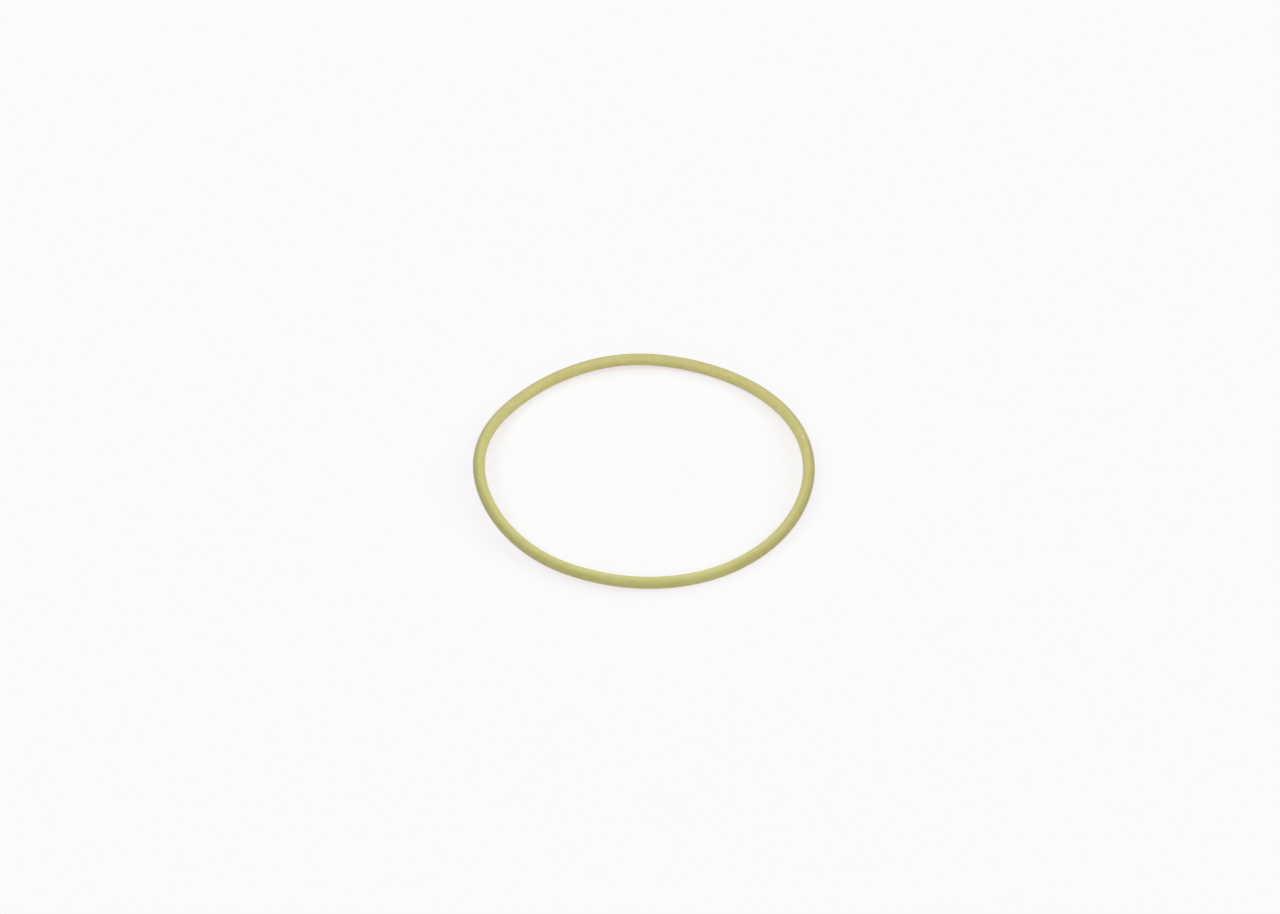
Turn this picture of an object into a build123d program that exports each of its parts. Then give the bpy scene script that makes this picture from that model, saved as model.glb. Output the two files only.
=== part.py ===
"""Sealing ring: one moulded elastomer ring of round section, as it lies loose on a flat surface.

The ring is round in plan. It lies on the surface at three feet and arches clear of it in between, in smooth
humps that the soft cord keeps. The origin is on the surface, under the middle of the ring. Sizes are in
millimetres, angles are in degrees from +X towards +Y, and +Z is up. The front is towards -Y.
"""

import os
from math import cos, pi, radians, sin

from build123d import *

# Sizes that such a ring is ordered by
inner_diameter = 80.0
cord_diameter = 3.0

# Places round the ring where the cord touches the surface
right_foot = 65.0
left_foot = 133.0
front_foot = 299.0

# Clear height under each hump's crest
right_lift = 1.1
back_lift = 0.65
left_lift = 2.7
front_lift = 1.0

# Crests of the two humps that overlap along the left side and the front
left_crest = 187.0
front_crest = 241.0

# Number of points that carry the centreline
station_count = 36

full_turn = 360.0
half_turn = full_turn / 2
cord_radius = cord_diameter / 2
centreline_radius = inner_diameter / 2 + cord_radius

# Each hump: its crest, the angle from the crest to its feet, and its lift
humps = [
    ((right_foot + front_foot - full_turn) / 2, (right_foot - front_foot + full_turn) / 2, right_lift),
    ((left_foot + right_foot) / 2, (left_foot - right_foot) / 2, back_lift),
    (left_crest, left_crest - left_foot, left_lift),
    (front_crest, front_foot - front_crest, front_lift),
]


def hump_height(angle, crest, reach, lift):
    """Height of one hump at an angle: a raised cosine, level at its crest and at its feet."""
    offset = (angle - crest + half_turn) % full_turn - half_turn
    if abs(offset) >= reach:
        return 0.0
    return lift * (1.0 + cos(pi * offset / reach)) / 2


def clear_height(angle):
    """Clear height under the cord at an angle."""
    return sum(hump_height(angle, *hump) for hump in humps)


stations = [full_turn * index / station_count for index in range(station_count)]
lowest_height = min(clear_height(angle) for angle in stations)
centreline_points = [
    (
        centreline_radius * cos(radians(angle)),
        centreline_radius * sin(radians(angle)),
        cord_radius + clear_height(angle) - lowest_height,
    )
    for angle in stations
]

# The closed centreline, and the two halves that the cord is swept along
with BuildLine() as centreline:
    Spline(centreline_points, periodic=True)
loop = centreline.edge()
halves = [loop.trim(0.0, 0.5), loop.trim(0.5, 1.0)]

# The round cord, whose halves meet end to end and join into one closed ring
with BuildPart() as sealing_ring:
    for half in halves:
        with BuildSketch(Plane(origin=half @ 0, x_dir=(0, 0, 1), z_dir=half % 0)):
            Circle(cord_radius)
        sweep(path=half)

sealing_ring.part.label = "sealing_ring"

os.makedirs("parts", exist_ok=True)
export_step(sealing_ring.part, "parts/sealing_ring.step")
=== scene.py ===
"""Looks of the sealing ring: a round elastomer cord in olive green, lying loose on a white ground."""

import math

import bpy
import numpy as np
from mathutils import Matrix, Vector


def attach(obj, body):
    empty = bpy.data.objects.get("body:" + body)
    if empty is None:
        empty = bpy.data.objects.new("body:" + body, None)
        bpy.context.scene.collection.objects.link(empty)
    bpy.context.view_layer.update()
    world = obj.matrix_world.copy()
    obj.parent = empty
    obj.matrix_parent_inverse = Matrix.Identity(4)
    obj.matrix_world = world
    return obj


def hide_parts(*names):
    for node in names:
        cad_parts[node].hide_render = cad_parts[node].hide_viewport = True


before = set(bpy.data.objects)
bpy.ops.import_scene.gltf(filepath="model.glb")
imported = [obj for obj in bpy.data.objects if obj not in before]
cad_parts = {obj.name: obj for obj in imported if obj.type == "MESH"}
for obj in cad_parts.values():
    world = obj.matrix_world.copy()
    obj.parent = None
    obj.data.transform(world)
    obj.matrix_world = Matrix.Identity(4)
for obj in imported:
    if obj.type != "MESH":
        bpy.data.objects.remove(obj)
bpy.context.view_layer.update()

# Lengths are in metres, and angles in degrees, round the ring from +X towards +Y
MM = 0.001
FULL_TURN = 360.0
HALF_TURN = FULL_TURN / 2

# The ring's sizes and its lie on the ground, as in the CAD part
INNER_DIAMETER = 80.0 * MM
CORD_RADIUS = 1.5 * MM
RIGHT_FOOT = 65.0
LEFT_FOOT = 133.0
FRONT_FOOT = 299.0
RIGHT_LIFT = 1.1 * MM
BACK_LIFT = 0.65 * MM
LEFT_LIFT = 2.7 * MM
FRONT_LIFT = 1.0 * MM
LEFT_CREST = 187.0
FRONT_CREST = 241.0
CENTRE_RADIUS = INNER_DIAMETER / 2 + CORD_RADIUS

# Each hump: its crest, the angle from the crest to its feet, and its lift
HUMPS = [
    ((RIGHT_FOOT + FRONT_FOOT - FULL_TURN) / 2, (RIGHT_FOOT - FRONT_FOOT + FULL_TURN) / 2, RIGHT_LIFT),
    ((LEFT_FOOT + RIGHT_FOOT) / 2, (LEFT_FOOT - RIGHT_FOOT) / 2, BACK_LIFT),
    (LEFT_CREST, LEFT_CREST - LEFT_FOOT, LEFT_LIFT),
    (FRONT_CREST, FRONT_FOOT - FRONT_CREST, FRONT_LIFT),
]

# The mesh: stations round the ring, points round the cord, and steps for the marks and for the direction
STATIONS = 540
SECTION_POINTS = 120
MARK_STEP = 0.07
CLOSEST_STATIONS = MARK_STEP / 3
DIRECTION_STEP = 0.07

# The parting line round the cord's two sides: its size, points across it in widths, and uneven trimming
PARTING_SIDES = (0.0, HALF_TURN)
PARTING_HEIGHT = 0.02 * MM
PARTING_WIDTH = 0.06 * MM
PARTING_POINTS = (-0.8, -0.4, 0.4, 0.8)
TRIM_DEPTH = 0.3
TRIM_WAVES = 7.0
TRIM_BEATS = 3.0

# Marks on the cord: turn and section angle of both ends, width, height and tone (section 0 is outward, 90 up)
MARKS = [
    ((13.7, 106.0), (14.05, 91.0), 0.24 * MM, 0.05 * MM, 0.9),
    ((13.7, 106.0), (12.65, 93.0), 0.2 * MM, 0.04 * MM, 0.75),
    ((187.5, 51.0), (189.75, 79.0), 0.22 * MM, -0.02 * MM, 0.6),
    ((281.2, 78.0), (281.5, 46.0), 0.2 * MM, -0.02 * MM, -0.3),
    ((289.3, 98.0), (289.9, 76.0), 0.24 * MM, -0.025 * MM, -0.55),
]

# Elastomer: its gloss, the two tones and the size of its mottle, and the tones of light and dark marks
GLOSS_LEVEL = 0.4
DARK_OLIVE = (0.470, 0.438, 0.152)
LIGHT_OLIVE = (0.517, 0.480, 0.177)
MOTTLE_SIZE = 1.6 * MM
MOTTLE_DETAIL = 3.0
LIGHTER_MARK_OLIVE = (0.70, 0.66, 0.34)
DARKER_MARK_OLIVE = (0.33, 0.33, 0.12)

# Partly painted light: a slow drift of tone from a greener front to a warmer back, partly the elastomer's own
# and partly standing in for warm and cool light
FRONT_TONE_AND_LIGHT_TINT = (0.972, 0.992, 0.960)
BACK_TONE_AND_LIGHT_TINT = (1.028, 1.020, 1.045)

# The moulded grain: its size, the change of tone and of roughness across it, and its bumps
GRAIN_SIZE = 0.18 * MM
GRAIN_DETAIL = 2.0
GRAIN_TONES = (0.94, 1.06)
GRAIN_ROUGHNESS = (0.42, 0.53)
GRAIN_STRENGTH = 0.45
GRAIN_DEPTH = 0.015 * MM

# The stretch round the front foot: its middle, its half length, its painted lighter tone, and its diagonal
# strokes
STRETCH_TURN = 292.0
STRETCH_REACH = 8.5 * MM
# Painted light: a lighter tone that stands in for the flatter shading where the cord rests on the ground
PAINTED_LIGHT_STRETCH_OLIVE = (0.530, 0.493, 0.184)
STROKE_SIZE = 0.35 * MM
STROKE_WANDER = 6.0
STROKE_DETAIL = 2.0
STROKE_STRENGTH = 0.35
STROKE_DEPTH = 0.02 * MM

# The range of a noise's values that a ramp of tones spans
NOISE_RANGE = (0.3, 0.7)

# Ground and surroundings: the whites, and the shares and the tint of the shadows that the ground takes
GROUND_SIZE = 12.0
GROUND_WHITE = 0.93
WHITE_SEEN = 0.965
SHADED_INSIDE = 0.45
SHADED_OUTSIDE = 0.14
SHADE_TINT = (0.68, 1.0, 0.84)

# Round lamps, two of them close to the ring: azimuth, elevation, distance, radius and strength
LAMPS = {
    "lamp_over": (0.0, 90.0, 0.10, 0.05, 0.45),
    "lamp_front": (-90.0, 30.0, 0.25, 0.07, 0.26),
    "lamp_back": (90.0, 45.0, 3.0, 1.0, 0.23),
    "lamp_left": (180.0, 50.0, 3.0, 1.0, 0.28),
    "lamp_right": (0.0, 35.0, 3.0, 1.0, 0.31),
}

# The camera, aimed at a point of the ground from the front, with its sensor and lens in millimetres
CAMERA_ELEVATION = 42.51
CAMERA_ROLL = -0.31
CAMERA_TARGET = (-0.97 * MM, 6.82 * MM, 0.0)
CAMERA_DISTANCE = 2.0
SENSOR_WIDTH = 36.0
LENS = 222.7


def signed_turn(angle):
    """Angles brought to within half a turn of zero."""
    return (angle + HALF_TURN) % FULL_TURN - HALF_TURN


def clear_height(angle):
    """Clear height under the cord at angles round the ring."""
    total = np.zeros_like(angle)
    for crest, reach, lift in HUMPS:
        offset = signed_turn(angle - crest)
        wave = lift * (1.0 + np.cos(math.pi * offset / reach)) / 2
        total += np.where(np.abs(offset) < reach, wave, 0.0)
    return total


def centreline(angle):
    """Points of the cord's centreline at angles round the ring."""
    turn = np.radians(angle)
    height = CORD_RADIUS + clear_height(angle)
    return np.stack([CENTRE_RADIUS * np.cos(turn), CENTRE_RADIUS * np.sin(turn), height], 1)


def station_angles():
    """Even stations round the ring, with closer ones across each mark."""
    angles = [np.arange(STATIONS) * FULL_TURN / STATIONS]
    for start, end, width, _, _ in MARKS:
        margin = math.degrees(2 * width / CENTRE_RADIUS)
        low, high = sorted((start[0], end[0]))
        angles.append(np.arange(low - margin, high + margin, MARK_STEP))
    merged = np.unique(np.concatenate(angles))
    return merged[np.append(np.diff(merged) > CLOSEST_STATIONS, True)]


def section_angles():
    """Even points round the cord, with closer ones across the parting line."""
    even = np.arange(SECTION_POINTS) * FULL_TURN / SECTION_POINTS
    close = np.degrees(PARTING_WIDTH / CORD_RADIUS) * np.array(PARTING_POINTS)
    lines = [side + close for side in PARTING_SIDES]
    return np.sort(np.concatenate([even, *lines]) % FULL_TURN)


def relief(turn, section):
    """Height of the surface over the plain cord, and the tone of its marks, at turn and section angles."""
    height = np.zeros(np.broadcast(turn, section).shape)
    tone = np.zeros_like(height)
    for side in PARTING_SIDES:
        across = np.radians(signed_turn(section - side)) * CORD_RADIUS
        waves = np.cos(np.radians(TRIM_WAVES * turn + side)) * np.cos(np.radians(TRIM_BEATS * turn))
        trimmed = 1.0 - TRIM_DEPTH + TRIM_DEPTH * waves
        height += PARTING_HEIGHT * trimmed * np.exp(-(across / PARTING_WIDTH) ** 2)
    for start, end, width, rise, shade in MARKS:
        along = np.radians([end[0] - start[0], end[1] - start[1]]) * (CENTRE_RADIUS, CORD_RADIUS)
        x = np.radians(turn - start[0]) * CENTRE_RADIUS
        y = np.radians(section - start[1]) * CORD_RADIUS
        place = np.clip((x * along[0] + y * along[1]) / (along @ along), 0.0, 1.0)
        away = np.hypot(x - place * along[0], y - place * along[1])
        ridge = np.exp(-(2.0 * away / width) ** 2)
        height += rise * ridge
        tone += shade * ridge
    return height, tone


def ring_mesh():
    """The cord as a closed tube of quads round the centreline, with its relief and the tone of its marks."""
    angle = station_angles()
    section = section_angles()
    centre = centreline(angle)
    along = centreline(angle + DIRECTION_STEP) - centreline(angle - DIRECTION_STEP)
    along /= np.linalg.norm(along, axis=1)[:, None]
    turn = np.radians(angle)
    outward = np.stack([np.cos(turn), np.sin(turn), np.zeros_like(turn)], 1)
    outward -= along * (outward * along).sum(1)[:, None]
    outward /= np.linalg.norm(outward, axis=1)[:, None]
    upward = np.cross(outward, along)
    round_cord = np.radians(section)[None, :, None]
    rim = np.cos(round_cord) * outward[:, None] + np.sin(round_cord) * upward[:, None]
    height, tone = relief(angle[:, None], section[None, :])
    points = centre[:, None] + (CORD_RADIUS + height)[:, :, None] * rim
    index = np.arange(height.size).reshape(height.shape)
    beside = np.roll(index, -1, 0)
    quads = np.stack([index, beside, np.roll(beside, -1, 1), np.roll(index, -1, 1)], -1)
    mesh = bpy.data.meshes.new("ring_surface")
    mesh.from_pydata(points.reshape(-1, 3).tolist(), [], quads.reshape(-1, 4).tolist())
    mesh.polygons.foreach_set("use_smooth", [True] * len(mesh.polygons))
    mesh.attributes.new("mark_tone", "FLOAT", "POINT").data.foreach_set("value", tone.ravel())
    mesh.update()
    return mesh


def grey(level):
    """Colour of equal red, green and blue."""
    return (level, level, level)


def opaque(colour):
    """Colour with full alpha."""
    return (*colour, 1.0)


class Nodes:
    """Short calls for the nodes of one material or world."""

    def __init__(self, tree):
        self.tree = tree

    def put(self, socket, value):
        """Set a socket, or link it if the value is an output."""
        if isinstance(value, bpy.types.NodeSocket):
            self.tree.links.new(value, socket)
        else:
            socket.default_value = value

    def add(self, kind, **inputs):
        """A node with its named inputs set to numbers or linked to other nodes' outputs."""
        node = self.tree.nodes.new("ShaderNode" + kind)
        for name, value in inputs.items():
            self.put(node.inputs[name], value)
        return node

    def sum(self, kind, operation, values):
        """Outputs of a node that works out one sum."""
        node = self.add(kind)
        node.operation = operation
        for socket, value in zip(node.inputs, values):
            self.put(socket, value)
        return node.outputs

    def math(self, operation, *values):
        """One sum of numbers."""
        return self.sum("Math", operation, values)["Value"]

    def vector(self, operation, *values):
        """One sum of vectors."""
        return self.sum("VectorMath", operation, values)["Vector"]

    def distance(self, place, point):
        """Distance of a place from a fixed point."""
        return self.sum("VectorMath", "DISTANCE", (place, point))["Value"]

    def step(self, source, low, high, low_value, high_value):
        """Number that goes smoothly from one value to another as the source goes from low to high."""
        node = self.add("MapRange", Value=source)
        node.interpolation_type = "SMOOTHSTEP"
        for socket, value in zip(node.inputs[1:5], (low, high, low_value, high_value)):
            self.put(socket, value)
        return node.outputs["Result"]

    def noise(self, place, feature, detail):
        """Noise with features of the given size."""
        return self.add("TexNoise", Vector=place, Scale=1.0 / feature, Detail=detail).outputs["Fac"]

    def ramp(self, noise, low_colour, high_colour):
        """Colour that goes from one tone to another as a noise goes over its range."""
        node = self.add("ValToRGB", Fac=noise)
        first, last = node.color_ramp.elements
        first.position, last.position = NOISE_RANGE
        first.color, last.color = opaque(low_colour), opaque(high_colour)
        return node.outputs["Color"]

    def blend(self, share, first, second, how="MIX"):
        """Two colours mixed."""
        node = self.add("Mix")
        node.data_type = "RGBA"
        node.blend_type = how
        factor, colour_a, colour_b = node.inputs[0], node.inputs[6], node.inputs[7]
        self.put(factor, share)
        self.put(colour_a, first)
        self.put(colour_b, second)
        return node.outputs[2]

    def seen_ray(self):
        """1 for rays that show a thing to the camera, direct or in gloss and glass, and 0 for its light."""
        path = self.add("LightPath").outputs
        either = self.math("MAXIMUM", path["Is Camera Ray"], path["Is Glossy Ray"])
        return self.math("MAXIMUM", either, path["Is Transmission Ray"])


def elastomer_material():
    """Satin olive elastomer with a faint mottle, a fine moulded grain, a few marks and diagonal strokes on a
    stretch at the front, with painted light: a lighter tone on that stretch and a tint from front to back.
    """
    material = bpy.data.materials.new("olive_elastomer")
    material.use_nodes = True
    nodes = Nodes(material.node_tree)
    shader = material.node_tree.nodes["Principled BSDF"]
    shader.inputs["Specular IOR Level"].default_value = GLOSS_LEVEL
    place = nodes.add("TexCoord").outputs["Object"]
    grain = nodes.noise(place, GRAIN_SIZE, GRAIN_DETAIL)

    # Painted light: the stretch round the front foot is lighter, standing in for its flatter shading where
    # the cord rests on the ground. The diagonal strokes lie on the same stretch.
    from_middle = nodes.distance(place, centreline(np.array([STRETCH_TURN]))[0])
    stretch_painted_light_and_strokes = nodes.step(from_middle, STRETCH_REACH / 2, STRETCH_REACH, 1.0, 0.0)

    # Partly painted light: a tint from greener at the front to warmer at the back, partly the elastomer's own
    # tone and partly the colour of the light
    depth = nodes.add("SeparateXYZ", Vector=place).outputs["Y"]
    towards_back = nodes.step(depth, -CENTRE_RADIUS, CENTRE_RADIUS, 0.0, 1.0)
    tint = nodes.blend(towards_back, opaque(FRONT_TONE_AND_LIGHT_TINT), opaque(BACK_TONE_AND_LIGHT_TINT))

    tone = nodes.add("Attribute")
    tone.attribute_name = "mark_tone"
    # The marks' listed tones: positive ones make the mark lighter, negative ones darker
    lighter_marks = nodes.math("MAXIMUM", tone.outputs["Fac"], 0.0)
    darker_marks = nodes.math("MAXIMUM", nodes.math("MULTIPLY", tone.outputs["Fac"], -1.0), 0.0)

    colour = nodes.ramp(nodes.noise(place, MOTTLE_SIZE, MOTTLE_DETAIL), DARK_OLIVE, LIGHT_OLIVE)
    # Painted light: the lighter tone of the stretch round the front foot
    colour = nodes.blend(stretch_painted_light_and_strokes, colour, opaque(PAINTED_LIGHT_STRETCH_OLIVE))
    # Partly painted light: the tint from front to back
    colour = nodes.blend(1.0, colour, tint, "MULTIPLY")
    colour = nodes.blend(1.0, colour, nodes.ramp(grain, *map(grey, GRAIN_TONES)), "MULTIPLY")
    colour = nodes.blend(lighter_marks, colour, opaque(LIGHTER_MARK_OLIVE))
    colour = nodes.blend(darker_marks, colour, opaque(DARKER_MARK_OLIVE))
    nodes.put(shader.inputs["Base Color"], colour)
    nodes.put(shader.inputs["Roughness"], nodes.ramp(grain, *map(grey, GRAIN_ROUGHNESS)))

    strokes = nodes.add("TexWave", Vector=place, Scale=1.0 / STROKE_SIZE)
    strokes.bands_direction = "DIAGONAL"
    nodes.put(strokes.inputs["Distortion"], STROKE_WANDER)
    nodes.put(strokes.inputs["Detail"], STROKE_DETAIL)
    stretch_strokes = nodes.math("MULTIPLY", strokes.outputs["Fac"], stretch_painted_light_and_strokes)
    moulded = nodes.add("Bump", Strength=GRAIN_STRENGTH, Distance=GRAIN_DEPTH, Height=grain)
    worked = nodes.add("Bump", Strength=STROKE_STRENGTH, Distance=STROKE_DEPTH, Height=stretch_strokes)
    nodes.put(worked.inputs["Normal"], moulded.outputs["Normal"])
    nodes.put(shader.inputs["Normal"], worked.outputs["Normal"])
    return material


def ground_material():
    """White ground: seen as an even white that takes shadows, and returning light as plain white does.

    A lamp's light on the ground goes with its height, and falls with the cube of the distance. The glow
    makes up for that fall, so that the ground is seen as one white out to its edges.
    """
    material = bpy.data.materials.new("white_ground")
    material.use_nodes = True
    tree = material.node_tree
    tree.nodes.remove(tree.nodes["Principled BSDF"])
    nodes = Nodes(tree)
    place = nodes.add("TexCoord").outputs["Object"]
    light = 0.0
    for azimuth, elevation, distance, _, level in LAMPS.values():
        lamp = lamp_place(azimuth, elevation, distance)
        fall = nodes.math("POWER", nodes.distance(place, lamp), -3.0)
        light = nodes.math("MULTIPLY_ADD", fall, level * distance ** 2 * lamp.z, light)
    inner, outer = CENTRE_RADIUS - CORD_RADIUS, CENTRE_RADIUS + CORD_RADIUS
    share = nodes.step(nodes.distance(place, (0.0, 0.0, 0.0)), inner, outer, SHADED_INSIDE, SHADED_OUTSIDE)
    lit = nodes.math("MULTIPLY", share, light)
    taken = [-part for part in SHADE_TINT]
    glow = nodes.add("Emission", Color=nodes.vector("MULTIPLY_ADD", lit, taken, grey(WHITE_SEEN)))
    shaded = nodes.add("BsdfDiffuse", Color=nodes.vector("MULTIPLY", share, SHADE_TINT))
    seen = nodes.add("AddShader")
    nodes.put(seen.inputs[0], glow.outputs[0])
    nodes.put(seen.inputs[1], shaded.outputs[0])
    white = nodes.add("BsdfDiffuse", Color=opaque(grey(GROUND_WHITE)))
    choice = nodes.add("MixShader", Fac=nodes.seen_ray())
    nodes.put(choice.inputs[1], white.outputs[0])
    nodes.put(choice.inputs[2], seen.outputs[0])
    nodes.put(tree.nodes["Material Output"].inputs["Surface"], choice.outputs[0])
    return material


def white_surroundings():
    """World: seen as an even white, and giving no light of its own."""
    world = bpy.data.worlds.new("white_surroundings")
    world.use_nodes = True
    nodes = Nodes(world.node_tree)
    background = world.node_tree.nodes["Background"]
    nodes.put(background.inputs["Color"], opaque(grey(1.0)))
    nodes.put(background.inputs["Strength"], nodes.math("MULTIPLY", nodes.seen_ray(), WHITE_SEEN))
    return world


def lamp_place(azimuth, elevation, distance):
    """Place of a lamp, as seen from the ring's middle."""
    turn, rise = math.radians(azimuth), math.radians(elevation)
    towards = Vector((math.cos(rise) * math.cos(turn), math.cos(rise) * math.sin(turn), math.sin(rise)))
    return towards * distance


def round_lamp(name, azimuth, elevation, distance, radius, level):
    """A ball lamp that lights what faces it at the ring's middle as an even sky of that level does."""
    data = bpy.data.lights.new(name, "POINT")
    data.shadow_soft_size = radius
    data.use_soft_falloff = False
    data.energy = level * 4.0 * math.pi ** 2 * distance ** 2
    lamp = bpy.data.objects.new(name, data)
    lamp.location = lamp_place(azimuth, elevation, distance)
    lamp.visible_camera = False
    bpy.context.scene.collection.objects.link(lamp)


ring = bpy.data.objects.new("sealing_ring_surface", ring_mesh())
bpy.context.scene.collection.objects.link(ring)
ring.data.materials.append(elastomer_material())
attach(ring, "root")
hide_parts("sealing_ring")

bpy.ops.mesh.primitive_plane_add(size=GROUND_SIZE)
ground = bpy.context.object
ground.name = "ground"
ground.data.materials.append(ground_material())

bpy.context.scene.world = white_surroundings()
for name, settings in LAMPS.items():
    round_lamp(name, *settings)

camera_data = bpy.data.cameras.new("camera")
camera_data.sensor_width = SENSOR_WIDTH
camera_data.lens = LENS
camera = bpy.data.objects.new("camera", camera_data)
bpy.context.scene.collection.objects.link(camera)
sight = math.radians(CAMERA_ELEVATION)
ahead = Vector((0.0, math.cos(sight), -math.sin(sight)))
camera.location = Vector(CAMERA_TARGET) - ahead * CAMERA_DISTANCE
turned = ahead.to_track_quat("-Z", "Y").to_matrix() @ Matrix.Rotation(math.radians(CAMERA_ROLL), 3, "Z")
camera.rotation_euler = turned.to_euler()
bpy.context.scene.camera = camera
bpy.context.scene.view_settings.view_transform = "Standard"
